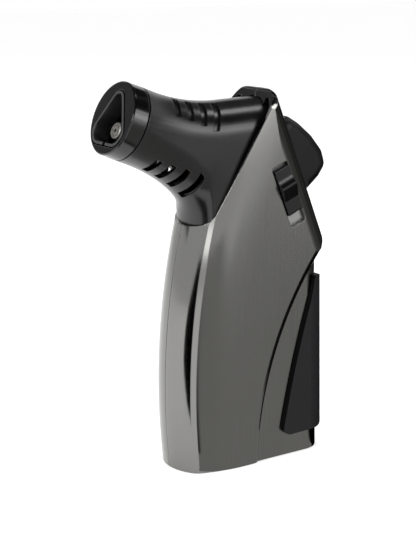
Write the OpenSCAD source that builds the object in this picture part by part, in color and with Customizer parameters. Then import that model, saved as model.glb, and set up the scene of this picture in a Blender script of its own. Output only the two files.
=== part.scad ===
// Hand-held butane torch with a flat base, an angled nozzle, a thumb button and a lock slider.
// Millimetres, Z up, nozzle toward -Y, slider side toward +X, origin in the middle of the base.

/* [Body] */
// Height of the hood crown above the base
body_h = 140; // [138:0.5:144]
// Width across the two flat side panels
body_w = 31; // [30.5:0.25:32.5]
// Depth of the base on the centre line
base_depth = 62.8; // [62:0.2:64]
// Radius of the front belly, seen from the side
belly_r = 260; // [250:5:290]
// Height of the foremost point of the belly
belly_z = 30; // [26:1:34]
// Radius of the front face, seen from above
nose_r = 18; // [17.6:0.1:18.6]
// Distance behind the belly at which the flat panels start to curve inward
side_turn = 24; // [22:0.5:25]
// Radius of the curve from the flat panel to the front edge
side_r = 55; // [52:1:60]
// Width of the polished bevel on the front edges
edge_bevel = 2.2; // [1:0.1:2.6]
// Wall of the metal shells
shell_wall = 1.2; // [1:0.05:1.3]
// Gap of the centre seam between the two shells
seam_gap = 0.26; // [0.1:0.02:0.3]
// Lean of the upper rear edge from the vertical, in degrees
spine_lean = 22.2; // [21:0.2:23]
// Radius of the rounded upper rear corners
spine_r = 11; // [9:0.5:12]
// Radius of the shell tip
tip_r = 4.5; // [3.5:0.25:5]
// Radius of the rear knee of the shells
knee_r = 7; // [5:0.5:8]
// Radius of the arch over the hood, seen from the front
arch_r = 20; // [18.5:0.5:23]
// Height of the front shell edge below the hood crown
lip_drop = 47.8; // [47:0.2:49]
// Lean of the head opening from the vertical, in degrees
mouth_lean = 31; // [30:0.2:31.6]
// Radius in the corner of the head opening
notch_r = 10; // [7:0.5:11]
// Radius of the curved step between shells and rear cover
step_r = 132; // [124:1:144]
// Width of the rounded shell edge along the step
step_round = 2.4; // [1.6:0.1:2.6]

/* [Rear cover and grip] */
// Wall of the rear cover
cover_wall = 1.8; // [1.4:0.1:2]
// Clearance between the rear cover and the shells
cover_gap = 0.1; // [0.05:0.05:0.15]
// Corner radius of the rear cover, seen from above
cover_r = 9; // [7:0.5:10]
// How far the cover reaches under the shells
cover_lap = 4; // [3:0.5:4.5]
// Height of the grip pad above the cover at the sides
pad_side = 1.6; // [1.2:0.1:2]
// Height of the grip pad above the cover at the rear
pad_rear = 2.3; // [2:0.1:2.8]
// Lower end of the grip pad
pad_z0 = 8.2; // [6:0.1:10]
// Height of the upper end of the grip pad below the hood crown
pad_drop = 70.5; // [70:0.1:73]
// Radius of the front edge of the grip pad
pad_arc = 435; // [400:5:480]
// Corner radius of the grip pad outline
pad_r = 4.5; // [3:0.25:5]
// Forward lean of the rear face of cover and pad, in degrees
rear_lean = 1.5; // [0.5:0.25:2]
// Width of the bevel along the pad edge
pad_bevel = 1.4; // [0.6:0.1:1.8]

/* [Head] */
// Upward pitch of the nozzle in degrees
pitch = 22; // [21:0.25:23]
// Distance of the nozzle face in front of the base centre
nozzle_reach = 53.95; // [52:0.25:55]
// Height of the nozzle centre below the hood crown
nozzle_drop = 7.15; // [6.8:0.05:7.5]
// Outer radius of the nozzle ring
ring_r = 13.3; // [13.1:0.05:13.6]
// Length of the nozzle ring
ring_len = 6.4; // [5.8:0.1:6.8]
// Outer radius of the head barrel
tube_r = 12; // [11.8:0.05:12.1]
// Wall of the head barrel
tube_wall = 1.7; // [1.4:0.1:1.9]
// Radius of the upper sweep of the barrel
top_sweep = 83.5; // [81:0.5:87]
// Radius of the lower sweep of the barrel
low_sweep = 81.8; // [79:0.2:86]
// Radius of the front of the neck, seen from above
neck_r = 17.75; // [17:0.25:17.75]
// Distance of the flanks of the neck inside the side panels
neck_inset = 4.5; // [4.4:0.05:4.8]
// Width of the slots in the barrel
vent_w = 2.5; // [2:0.1:2.9]
// Spacing of the blind upper slots along the barrel
groove_pitch = 5.4; // [5.1:0.05:5.6]
// Spacing of the open lower slots along the barrel
vent_pitch = 5.8; // [5.4:0.05:5.9]
// Depth of the blind upper slots
groove_d = 0.8; // [0.4:0.1:1]

/* [Flame guard and burner] */
// Radius of the lower corners of the rounded triangular guard
guard_r = 5.1; // [4.6:0.1:5.2]
// Radius of the upper corner of the guard
guard_tip = 3.9; // [3.5:0.1:4.2]
// Half width between the lower guard corners
guard_x = 4.9; // [4.5:0.1:5]
// Height of the upper guard corner above the nozzle centre
guard_top = 5.8; // [5.4:0.1:6.1]
// Depth of the lower guard corners below the nozzle centre
guard_low = 4.7; // [4.4:0.1:4.8]
// Wall of the flame guard
guard_wall = 0.9; // [0.7:0.05:1.1]
// Dark gap between the guard and the ring
guard_gap = 0.5; // [0.4:0.05:0.6]
// Depth of the floor of the nozzle cavity
floor_d = 10.7; // [10.6:0.1:11.4]
// Radius of the burner tip
burner_r = 3; // [2.8:0.05:3.2]
// Depth of the burner tip behind the nozzle face
burner_d = 2.7; // [2.4:0.1:4]
// Offset of the burner below the nozzle centre
burner_drop = 3.7; // [3.4:0.05:3.9]
// Number of flame holes round the burner
flame_holes = 8; // [6:1:10]

/* [Button and ignition] */
// Lean of the thumb button travel from the vertical, in degrees
button_lean = 35; // [34:0.25:36]
// Width of the thumb button
button_w = 14.4; // [13.8:0.1:14.6]
// Edge radius of the thumb button
button_r = 4.5; // [4:0.1:4.8]
// Travel of the thumb button
button_travel = 5; // [4:0.25:5]
// Clearance round the thumb button
button_gap = 0.45; // [0.35:0.05:0.6]
// Radius of the piezo case
piezo_r = 4.5; // [4.2:0.05:4.6]
// Length of the piezo case
piezo_len = 19; // [17:0.25:19.5]

/* [Lock slider] */
// Length of the slot in the left panel
slot_len = 24.5; // [24:0.1:25]
// Width of the slot
slot_w = 7.3; // [7:0.05:7.4]
// Length of the slider
slider_len = 18.5; // [17.5:0.1:18.6]
// Clearance between slider and slot on each side
slider_gap = 0.3; // [0.25:0.01:0.4]
// Height of the slider ridge above the panel
ridge_h = 2.2; // [1.6:0.1:2.8]

/* [Fuel system] */
// Wall of the fuel tank
tank_wall = 1.6; // [1.3:0.1:1.8]
// Gap between the tank and the outer faces of the body
tank_inset = 3.7; // [3.5:0.1:4]
// Distance of the dial axis in front of the base centre
dial_y = 12; // [11.5:0.1:12.5]
// Radius of the flame dial
dial_r = 6; // [5.5:0.1:6.5]
// Distance of the filler valve behind the base centre
filler_y = 12; // [11:0.25:13]
// Radius of the filler mouth
mouth_r = 2; // [1.8:0.05:2.2]
// Depth of the filler mouth
mouth_len = 3; // [2.6:0.1:3.4]
// Thickness of the base plate
base_t = 2.5; // [2.2:0.1:2.8]

/* [Hidden] */
$fn = 72;

plan_h = 140;
lift = body_h - plan_h;
half_w = body_w / 2;
neck_x = half_w - neck_inset;
base_set = 0.3;
wheel_r = belly_r * pow((body_h - belly_z) / (plan_h - belly_z), 2);
front_y = -base_depth / 2 - base_set - belly_z * belly_z / (2 * wheel_r);
wheel_y = front_y + wheel_r;
rear_y = base_depth / 2 - base_set;
flat_end = wheel_r - side_turn;
ring_start = 120;

// Corner of the front face and the side curve, where two circles meet
cx = side_turn - nose_r;
cy = side_r - half_w;
cd = sqrt(cx * cx + cy * cy);
ca = (side_r * side_r - nose_r * nose_r + cd * cd) / (2 * cd);
ch = sqrt(side_r * side_r - ca * ca);
edge_rad = flat_end + ca * cx / cd + ch * cy / cd;
edge_x = half_w - side_r + ca * cy / cd - ch * cx / cd;
front_ang = asin(edge_x / nose_r);
side_ang = 90 - asin((edge_rad - flat_end) / side_r);
bevel_ang = (front_ang + side_ang) / 2;
bevel_cut = edge_bevel / 2 * tan((side_ang - front_ang) / 2);

// Rear edge and head opening lines, as Y at a given height
spine_z0 = 137.9 + lift;
spine_y0 = 10.5;
mouth_z0 = 136.3 + lift;
mouth_y0 = 4.75;
lip_z = body_h - lip_drop;
frame_set = 2.9;
hood_set = 0.2;
crown_r = 1.8;
root_set = 6.8;
knee_top = 105 + lift;
cover_top = 78 + lift;
pad_z1 = body_h - pad_drop;
pad_corner = 5.5;
function spine_y(z) = spine_y0 + (spine_z0 - z) * tan(spine_lean);
function mouth_y(z) = mouth_y0 + (z - mouth_z0) * tan(mouth_lean);
// Centre of an arc of radius r from a low point to a high point, bulging forward
function arc_half(y0, z0, y1, z1) = norm([y1 - y0, z1 - z0]) / 2;
function arc_out(y0, z0, y1, z1, r) = sqrt(r * r - pow(arc_half(y0, z0, y1, z1), 2)) / arc_half(y0, z0, y1, z1) / 2;
function arc_y(y0, z0, y1, z1, r) = (y0 + y1) / 2 + (z1 - z0) * arc_out(y0, z0, y1, z1, r);
function arc_z(y0, z0, y1, z1, r) = (z0 + z1) / 2 - (y1 - y0) * arc_out(y0, z0, y1, z1, r);
step_y0 = -1.3;
step_y1 = 20.5;
step_z1 = 70 + lift;
step_y = arc_y(step_y0, 0, step_y1, step_z1, step_r);
step_z = arc_z(step_y0, 0, step_y1, step_z1, step_r);
pad_y0 = 8.5;
pad_y1 = 24;
pad_cy = arc_y(pad_y0, pad_z0, pad_y1, pad_z1, pad_arc);
pad_cz = arc_z(pad_y0, pad_z0, pad_y1, pad_z1, pad_arc);
// Height at which the rear edge meets the opening line set back by g
function peak_z(g) = (spine_y0 - mouth_y0 - g + spine_z0 * tan(spine_lean) + mouth_z0 * tan(mouth_lean))
                     / (tan(spine_lean) + tan(mouth_lean));

nozzle_z = body_h - nozzle_drop;
top_start = 10;
low_start = 11;
top_rise = 1.75;
low_fall = 1.7;
top_turn = 24;
seam_r = ring_r + 0.25;
spigot_r = tube_r - 0.4;
bore_r = tube_r - 0.3;
slab_x = tube_r - 0.14;
cone_end = 21;
low_turn = 36;
groove_start = 18.9;
vent_start = 18.4;
function axis_y(s, v) = -nozzle_reach + s * cos(pitch) + v * sin(pitch);
function axis_z(s, v) = nozzle_z - s * sin(pitch) + v * cos(pitch);
top_end_s = top_start + top_sweep * sin(top_turn);
top_end_v = top_rise + top_sweep * (1 - cos(top_turn));
top_end_y = axis_y(top_end_s, top_end_v);
top_end_z = axis_z(top_end_s, top_end_v);
low_end_s = low_start + low_sweep * sin(low_turn);
low_end_v = -low_fall - low_sweep * (1 - cos(low_turn));
low_end_y = axis_y(low_end_s, low_end_v);
low_end_z = axis_z(low_end_s, low_end_v);
mix_end = 41;
jet_end = mix_end + 8.1;
jet_y = axis_y(jet_end, -burner_drop);
jet_z = axis_z(jet_end, -burner_drop);
wire_y = axis_y(floor_d + 7.6, guard_top - 0.6);
wire_z = axis_z(floor_d + 7.6, guard_top - 0.6);

frame_gap = 0.15;
frame_wall = 1.6;
frame_out = shell_wall + frame_gap;
frame_in = frame_out + frame_wall;
frame_z0 = 66.2 + lift;
frame_bolts = [[-3, 100 + lift], [25.5, 87.5 + lift]];
fit_gap = 0.3;
run_gap = 0.05;
head_x = half_w - 6.3;

button_y0 = 20.5;
button_z0 = 108 + lift;
button_front = -16.6;
button_back = 12.1;
button_low = -10.5;
piezo_y = -3;
piezo_top = -14;
plunger_r = 2.6;
plunger_end = -23.4;
leg_x0 = 5.6;
leg_w = 1.6;
leg_end = -25.2;
leg_y = button_back - 7.7;
opening_w = button_w + 2 * button_gap;
opening_z = 96.2 + lift;

slot_y = 11.15;
slot_z = 101.9 + lift;
plate_t = 1;
plate_x = half_w - shell_wall - 0.4 - plate_t;
slider_top = slot_len / 2 - 1;

pivot_y = -dial_y + 6;
pivot_z = 78 + lift;
pin_r = 1.2;
stem_r = 1.5;
head_z = 78.6 + lift;

tank_z0 = base_t + 0.1;
tank_z1 = 62 + lift;
seal_t = 0.8;
lid_t = 3.2;
lid_z1 = tank_z1 + seal_t + lid_t;
tank_rear = rear_y - 4.2;
screw_y = rear_y - 7.7;

// Extrudes a side view outline across the body
module across(w) {
  rotate([90, 0, 90])
    linear_extrude(height = w, center = true)
      children();
}

// Section of the body swept round the belly centre, inset by i
module wheel_profile(i) {
  intersection() {
    union() {
      translate([wheel_r - nose_r, 0])
        circle(r = nose_r - i);
      translate([ring_start, -body_w])
        square([wheel_r - nose_r - ring_start, 2 * body_w]);
    }
    union() {
      translate([ring_start, i - half_w])
        square([flat_end - ring_start, body_w - 2 * i]);
      intersection() {
        translate([flat_end, half_w - side_r])
          circle(r = side_r - i);
        translate([flat_end, side_r - half_w])
          circle(r = side_r - i);
        translate([flat_end, -body_w])
          square([side_r, 2 * body_w]);
      }
    }
  }
}

module wheel(i) {
  translate([0, wheel_y, belly_z])
    rotate([0, 90, 0])
      rotate_extrude()
        wheel_profile(i);
}

// The same sweep with the polished bevel on both front edges
module bevelled_wheel() {
  translate([0, wheel_y, belly_z])
    rotate([0, 90, 0])
      rotate_extrude()
        difference() {
          wheel_profile(0);
          for (m = [0, 1])
            mirror([0, m])
              translate([edge_rad, edge_x])
                rotate(bevel_ang)
                  translate([-bevel_cut, -4])
                    square([6, 8]);
        }
}

// Rounded section along the leaning rear edge, inset by i
module spine_round(i) {
  sx = half_w - spine_r + 0.04;
  translate([0, spine_y0, spine_z0])
    rotate([spine_lean, 0, 0])
      linear_extrude(height = 360, center = true)
        union() {
          translate([-half_w - 2, -120])
            square([body_w + 4, 120 - spine_r]);
          translate([-sx, -120])
            square([2 * sx, 120 - i]);
          for (s = [-1, 1])
            translate([s * sx, -spine_r])
              circle(r = spine_r - i);
        }
}

module form(i) {
  intersection() {
    wheel(i);
    spine_round(i);
  }
}

// Arch that limits shells and hood, seen from the front
module arch() {
  rotate([90, 0, 0])
    linear_extrude(height = 240, center = true)
      union() {
        translate([0, body_h - arch_r])
          circle(r = arch_r);
        translate([-40, -20])
          square([80, body_h - arch_r + 22]);
      }
}

// Side outline of the metal shells, a larger radius at the knee than at the tip
module shell_outline() {
  union() {
    intersection() {
      round_outline(tip_r);
      translate([-100, knee_top])
        square([300, 100]);
    }
    intersection() {
      round_outline(knee_r);
      translate([-100, -60])
        square([300, knee_top + 60.01]);
    }
  }
}

module round_outline(r) {
  offset(r = r)
    offset(delta = -r)
      offset(r = -notch_r)
        offset(delta = notch_r)
          difference() {
            polygon([[-70, -40], [-70, lip_z], [mouth_y(lip_z), lip_z],
                     [mouth_y(peak_z(0)) + 0.02, peak_z(0)], [spine_y(40) + 0.05, 40], [90, -40]]);
            translate([step_y, step_z])
              circle(r = step_r, $fn = 240);
          }
}

// Clearance for the thumb button through shells and frame, following its travel
module button_way(g, low) {
  translate([0, button_y0, button_z0])
    rotate([-button_lean, 0, 0])
      translate([-button_w / 2 - g, button_front - g, low])
        cube([button_w + 2 * g, button_back - button_front + 2 * g, 50 - low]);
}

module slot_frame() {
  translate([0, slot_y, slot_z])
    rotate([spine_lean, 0, 0])
      children();
}

module slot_hole() {
  r = 0.8;
  slot_frame() {
    translate([half_w - 6, -slot_w / 2, r - slot_len / 2])
      cube([12, slot_w, slot_len - 2 * r]);
    translate([half_w - 6, r - slot_w / 2, -slot_len / 2])
      cube([12, slot_w - 2 * r, slot_len]);
    for (y = [-1, 1])
      for (z = [-1, 1])
        translate([half_w - 6, y * (slot_w / 2 - r), z * (slot_len / 2 - r)])
          rotate([0, 90, 0])
            cylinder(h = 12, r = r);
  }
}

// Rounds the outer edge of both shells along the step, in three slopes
module step_edge() {
  translate([0, step_y, step_z])
    rotate([0, 90, 0])
      for (m = [0, 1])
        mirror([0, 0, m])
          rotate_extrude($fn = 240)
            polygon([[step_r - step_round / 6, half_w - 1.15 * shell_wall],
                     [step_r + step_round / 6, half_w - 0.55 * shell_wall],
                     [step_r + step_round / 2, half_w - 0.22 * shell_wall],
                     [step_r + 1.5 * step_round, half_w + 0.22 * shell_wall],
                     [step_r - step_round / 6, half_w + 0.22 * shell_wall]]);
}

// Both metal shells before they are parted at the seam
module shell_pair() {
  difference() {
    intersection() {
      bevelled_wheel();
      spine_round(0);
      across(60)
        shell_outline();
      arch();
      translate([-50, -80, 0])
        cube([100, 160, 200]);
    }
    form(shell_wall);
    step_edge();
    intersection() {
      button_way(button_gap - 0.05, -40);
      translate([-30, -30, opening_z])
        cube([60, 100, 80]);
    }
    translate([-opening_w / 2, -20, 118 + lift])
      cube([opening_w, 80, 40]);
  }
}

module left_shell() {
  color("dimgray")
    difference() {
      intersection() {
        shell_pair();
        translate([seam_gap / 2, -90, -10])
          cube([40, 180, 200]);
      }
      slot_hole();
    }
}

module right_shell() {
  color("dimgray")
    intersection() {
      shell_pair();
      translate([-40 - seam_gap / 2, -90, -10])
        cube([40, 180, 200]);
    }
}

// Plan of the rear half with rounded rear corners, run up to height z
module rear_block(y, r, w, z) {
  x = w - r;
  rotate([rear_lean, 0, 0])
    translate([0, 0, -4])
      linear_extrude(height = z + 4)
        union() {
          translate([-30, -60])
            square([60, 60 + y - r]);
          translate([-x, -60])
            square([2 * x, 60 + y]);
          for (s = [-1, 1])
            translate([s * x, y - r])
              circle(r = r);
        }
}

module cover_solid(i, y, r) {
  intersection() {
    wheel(i);
    rear_block(y, r, half_w - i + 0.04, cover_top + 12);
  }
}

module rear_cover() {
  i0 = shell_wall + cover_gap;
  color("gray")
    intersection() {
      difference() {
        cover_solid(i0, rear_y, cover_r);
        cover_solid(i0 + cover_wall, rear_y - cover_wall, cover_r - cover_wall);
      }
      across(60)
        intersection() {
          translate([step_y, step_z])
            circle(r = step_r + cover_lap);
          translate([-60, 0])
            square([120, cover_top]);
        }
    }
}

module pad_outline() {
  intersection() {
    offset(r = pad_r)
      offset(delta = -pad_r)
        intersection() {
          translate([pad_cy, pad_cz])
            circle(r = pad_arc, $fn = 360);
          translate([0, pad_z0])
            square([80, pad_z1]);
        }
    rotate(rear_lean)
      offset(r = pad_corner)
        offset(delta = -pad_corner)
          translate([-50, pad_z0 - 0.3])
            square([50 + rear_y + pad_rear - 0.15, pad_z1 - pad_z0 - 0.3]);
  }
}

// Limits the front edge of the pad to a sloping bevel
module pad_cone() {
  x0 = half_w - shell_wall - cover_gap;
  translate([0, pad_cy, pad_cz])
    rotate([0, 90, 0])
      union() {
        cylinder(h = 2 * x0, r = pad_arc + 0.3, center = true);
        for (m = [0, 1])
          mirror([0, 0, m])
            translate([0, 0, x0 - 0.01])
              cylinder(h = 4, r1 = pad_arc + 0.3, r2 = pad_arc + 0.3 - 4 * pad_bevel / pad_side);
      }
}

module grip_pad() {
  i0 = shell_wall + cover_gap;
  color("black")
    intersection() {
      difference() {
        cover_solid(i0 - pad_side, rear_y + pad_rear, cover_r + 2);
        cover_solid(i0, rear_y, cover_r);
      }
      across(60)
        pad_outline();
      pad_cone();
    }
}

module base_plate() {
  i0 = shell_wall + 0.15;
  i1 = shell_wall + cover_gap + cover_wall + 0.15;
  color("black")
    difference() {
      union() {
        intersection() {
          wheel(i0);
          translate([-30, -60, 0])
            cube([60, 60 - cover_lap - 3, base_t]);
        }
        intersection() {
          cover_solid(i1, rear_y - cover_wall - 0.15, cover_r - cover_wall);
          translate([-30, -cover_lap - 4, 0])
            cube([60, 60, base_t]);
        }
      }
      translate([0, -dial_y, -1])
        cylinder(h = base_t + 2, r = dial_r + 0.25);
      translate([0, filler_y, -1])
        cylinder(h = base_t + 2, r = 4.2);
      for (y = [-screw_y, screw_y])
        translate([0, y, 0]) {
          translate([0, 0, -1])
            cylinder(h = base_t + 2, r = 1.5);
          translate([0, 0, -1])
            cylinder(h = 2.2, r = 2.7);
        }
    }
}

module base_screws() {
  color("silver")
    for (y = [-screw_y, screw_y])
      translate([0, y, 0])
        difference() {
          union() {
            translate([0, 0, 0.3])
              cylinder(h = 0.9, r = 2.5);
            translate([0, 0, 0.4])
              cylinder(h = 8.6, r = 1.3);
          }
          for (a = [0, 90])
            rotate([0, 0, a])
              translate([-1.6, -0.3, 0])
                cube([3.2, 0.6, 0.8]);
        }
}

// Outline of the inner frame in the side view, with the rounded crown of the hood
module frame_outline() {
  difference() {
    offset(r = crown_r)
      offset(delta = -crown_r)
        polygon([[-14, frame_z0 - 9], [-14, mouth_z0 + (-14 - mouth_y0 - frame_set) / tan(mouth_lean)],
                 [spine_y(peak_z(hood_set)) + 0.05, peak_z(hood_set)], [spine_y(frame_z0 - 9) + 0.05, frame_z0 - 9]]);
    translate([-60, 0])
      square([160, frame_z0]);
    intersection() {
      translate([step_y, step_z])
        circle(r = step_r + cover_lap + 0.3, $fn = 240);
      translate([-60, 0])
        square([160, cover_top + 0.4]);
    }
    difference() {
      translate([-60, 0])
        square([160, 100 + lift]);
      offset(delta = -0.6)
        shell_outline();
    }
  }
}

// Band behind the head opening that carries the barrel root
module collar_outline() {
  y0 = frame_set;
  y1 = frame_set + 5.6;
  polygon([[mouth_y(96 + lift) + y0, 96 + lift], [mouth_y(body_h + 6) + y0, body_h + 6],
           [mouth_y(body_h + 6) + y1, body_h + 6], [mouth_y(96 + lift) + y1, 96 + lift]]);
}

module piezo_frame() {
  translate([0, button_y0, button_z0])
    rotate([-button_lean, 0, 0])
      children();
}

module frame_pair() {
  difference() {
    union() {
      difference() {
        intersection() {
          form(frame_out);
          across(60)
            frame_outline();
        }
        form(frame_in);
      }
      intersection() {
        form(frame_out);
        across(60)
          collar_outline();
      }
      intersection() {
        form(0);
        arch();
        across(opening_w - 0.3)
          frame_outline();
        translate([-30, -20, 118 + lift])
          cube([60, 80, 60]);
      }
      intersection() {
        difference() {
          form(0);
          across(60)
            offset(delta = 0.15)
              shell_outline();
        }
        arch();
        across(60)
          frame_outline();
        translate([-30, -20, 130 + lift])
          cube([60, 60, 60]);
      }
      intersection() {
        form(frame_out + 0.2);
        piezo_frame()
          translate([-20, piezo_y - 8, piezo_top - 15])
            cube([40, 13.5, 4]);
      }
      for (p = frame_bolts)
        intersection() {
          form(frame_out + 0.2);
          translate([-20, p[0], p[1]])
            rotate([0, 90, 0])
              cylinder(h = 40, r = 3);
        }
    }
    head_solid(fit_gap);
    across(18.4)
      polygon([[mouth_y(90 + lift), 90 + lift], [mouth_y(131 + lift), 131 + lift],
               [mouth_y(131 + lift) + 12, 131 + lift], [mouth_y(90 + lift) + 12, 90 + lift]]);
    button_way(button_gap, button_low - button_travel - 1);
    piezo_frame()
      translate([0, piezo_y, -60])
        cylinder(h = 90, r = piezo_r + 0.08);
    for (p = frame_bolts)
      translate([0, p[0], p[1]])
        rotate([0, 90, 0]) {
          cylinder(h = 22, r = 1.25, center = true);
          translate([0, 0, -half_w - 2])
            cylinder(h = half_w + 4 - head_x, r = 2.6);
        }
    slot_frame()
      translate([half_w - 8, -slot_w / 2 - 3, -slot_len / 2 - 4.5])
        cube([12, slot_w + 6, slot_len + 9]);
  }
}

// Bearing for the rocker pin on the side wall
module pin_boss(x0, x1) {
  difference() {
    intersection() {
      form(frame_out + 0.2);
      translate([min(x0, x1), pivot_y, pivot_z])
        rotate([0, 90, 0])
          cylinder(h = abs(x1 - x0), r = 2.6);
    }
    translate([-40, pivot_y, pivot_z])
      rotate([0, 90, 0])
        cylinder(h = 80, r = pin_r + 0.01);
  }
}

module frame_left() {
  color("black")
    union() {
      intersection() {
        frame_pair();
        translate([0.02, -90, 0])
          cube([40, 180, 200]);
      }
      pin_boss(8.2, 13.8);
    }
}

module frame_right() {
  color("black")
    union() {
      intersection() {
        frame_pair();
        translate([-40.02, -90, 0])
          cube([40, 180, 200]);
      }
      pin_boss(-4.8, -13.8);
      intersection() {
        form(frame_out + 0.2);
        piezo_frame()
          translate([-20, piezo_y - 4, piezo_top - piezo_len - 2.1])
            cube([24, 7, 2]);
      }
    }
}

module frame_screws() {
  color("silver")
    for (p = frame_bolts)
      translate([0, p[0], p[1]])
        rotate([0, 90, 0])
          union() {
            translate([0, 0, -head_x + 1])
              cylinder(h = head_x + 7, r = 1.24);
            translate([0, 0, -head_x])
              cylinder(h = 2, r = 2.4);
          }
}

// Nozzle frame: local z out of the nozzle, local y up
module nozzle_frame() {
  translate([0, -nozzle_reach, nozzle_z])
    rotate([90 - pitch, 0, 0])
      children();
}

// Upper half of a round tube of radius r, seen along its axis
module half_disc(r) {
  intersection() {
    circle(r = r);
    translate([-20, -1.2])
      square([40, 21.2]);
  }
}

// Flaring barrel as a slim cone, two bent tubes and the flat flanks between them, grown by g
module barrel_solid(g) {
  r = tube_r - 0.2 + g;
  union() {
    union() {
      across(2 * (slab_x + g))
        slab_outline();
      nozzle_frame()
        translate([0, -low_fall - low_sweep, -low_start])
          rotate([-90, 0, 0])
            rotate([0, -90, 0])
              rotate_extrude(angle = low_turn)
                intersection() {
                  translate([low_sweep, 0])
                    circle(r = r);
                  translate([0, -20])
                    square([low_sweep + 1, 40]);
                }
      nozzle_frame()
        translate([0, -low_fall, -low_start - 1.5])
          mirror([0, 1, 0])
            linear_extrude(height = low_start + 1.45 - ring_len)
              half_disc(r + 0.03);
    }
    union() {
      nozzle_frame()
        translate([0, top_rise + top_sweep, -top_start])
          rotate([-90, 0, 0])
            rotate([0, 90, 0])
              rotate_extrude(angle = top_turn)
                intersection() {
                  translate([top_sweep, 0])
                    circle(r = r);
                  translate([0, -20])
                    square([top_sweep + 1, 40]);
                }
      nozzle_frame()
        translate([0, top_rise, -top_start - 1.5])
          linear_extrude(height = top_start + 1.45 - ring_len)
            half_disc(r + 0.03);
      translate([0, top_end_y, top_end_z])
        rotate([top_turn - pitch - 90, 0, 0])
          translate([0, 0, -1.5])
            linear_extrude(height = 31)
              mirror([0, 1])
                half_disc(r + 0.03);
    }
    nozzle_frame()
      translate([0, 0, -cone_end])
        cylinder(h = cone_end - ring_len, r1 = tube_r - 0.2 + g, r2 = seam_r - 0.05 + g);
  }
}

// Flat flanks between the two sweep centre lines
module slab_outline() {
  difference() {
    polygon([[axis_y(8.5, 0.1 - low_fall), axis_z(8.5, 0.1 - low_fall)],
             [axis_y(8.5, top_rise - 0.1), axis_z(8.5, top_rise - 0.1)],
             [axis_y(top_start + 3, top_rise - 0.05), axis_z(top_start + 3, top_rise - 0.05)],
             [top_end_y, top_end_z],
             [top_end_y + 30, top_end_z + 30 * tan(top_turn - pitch)],
             [top_end_y + 30, low_end_z], [low_end_y, low_end_z],
             [axis_y(low_start + 3, 0.05 - low_fall), axis_z(low_start + 3, 0.05 - low_fall)]]);
    translate([axis_y(top_start, top_rise + top_sweep), axis_z(top_start, top_rise + top_sweep)])
      circle(r = top_sweep);
    translate([axis_y(low_start, -low_fall - low_sweep), axis_z(low_start, -low_fall - low_sweep)])
      circle(r = low_sweep);
  }
}

// Upright neck with a round front that reaches into the body
module neck_solid(g) {
  translate([0, 0, 86 + lift - g])
    linear_extrude(height = 24 + g)
      offset(r = 5.5 + g)
        offset(delta = -5.5 - g)
          intersection() {
            translate([0, -6.8])
              circle(r = neck_r + g);
            translate([-neck_x - g, -40])
              square([2 * (neck_x + g), 60]);
          }
}

// Everything in front of the inner end of the head
module head_zone(g) {
  across(60)
    polygon([[-90, 84 + lift], [mouth_y(84 + lift) + root_set + g, 84 + lift],
             [mouth_y(160 + lift) + root_set + g, 160 + lift], [-90, 160 + lift]]);
}

module head_solid(g) {
  intersection() {
    union() {
      barrel_solid(g);
      neck_solid(g);
    }
    head_zone(g);
  }
}

// Four pairs of slots from height v0 to v1, beyond the distance x from the middle
module vent_slabs(x, v0, v1, start, spacing) {
  nozzle_frame()
    for (k = [0:3])
      for (s = [-1, 1])
        translate([s > 0 ? x : -x - 20, v0, -start - k * spacing - vent_w / 2])
          cube([20, v1 - v0, vent_w]);
}

module head_barrel() {
  color("black")
    difference() {
      head_solid(0);
      intersection() {
        union() {
          barrel_solid(-tube_wall);
          neck_solid(-tube_wall);
        }
        head_zone(5);
      }
      nozzle_frame()
        translate([0, 0, -floor_d - 1.8])
          cylinder(h = floor_d + 3 - ring_len, r = bore_r);
      difference() {
        vent_slabs(3.5, 8, 34, groove_start, groove_pitch);
        barrel_solid(-groove_d);
      }
      vent_slabs(3, -34, -9.1, vent_start, vent_pitch);
    }
}

// Rounded triangle of the guard, grown by g
module guard_shape(g) {
  hull() {
    translate([0, guard_top])
      circle(r = guard_tip + g, $fn = 64);
    for (s = [-1, 1])
      translate([s * guard_x, -guard_low])
        circle(r = guard_r + g, $fn = 64);
  }
}

module nozzle_ring() {
  c = 0.35;
  color("black")
    nozzle_frame()
      difference() {
        union() {
          translate([0, 0, 0.2 - ring_len])
            cylinder(h = c, r1 = seam_r - c, r2 = seam_r);
          translate([0, 0, 0.2 + c - ring_len])
            cylinder(h = ring_len - 0.2 - 2 * c, r1 = seam_r, r2 = ring_r);
          translate([0, 0, -c])
            cylinder(h = c, r1 = ring_r, r2 = ring_r - c);
          translate([0, 0, -ring_len - 4])
            cylinder(h = 5, r = spigot_r);
        }
        translate([0, 0, -ring_len - 5])
          linear_extrude(height = ring_len + 6)
            guard_shape(guard_gap);
      }
}

module flame_guard() {
  depth = ring_len - 0.2;
  color("gray")
    nozzle_frame()
      difference() {
        translate([0, 0, -depth])
          linear_extrude(height = depth + 0.2)
            guard_shape(0);
        translate([0, 0, -depth - 1])
          linear_extrude(height = depth + 3)
            guard_shape(-guard_wall);
        translate([-1.1, -guard_low - guard_r - 1, -2.4])
          cube([2.2, 3, 4]);
      }
}

module burner_plate() {
  t = 1.6;
  color("gray")
    nozzle_frame()
      difference() {
        translate([0, 0, -floor_d - t - 0.05])
          cylinder(h = t, r = spigot_r);
        translate([0, -burner_drop, -floor_d - 4])
          cylinder(h = 8, r = 2.5);
        translate([0, guard_top - 0.6, -floor_d - 4])
          cylinder(h = 8, r = 1.15);
      }
}

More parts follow.
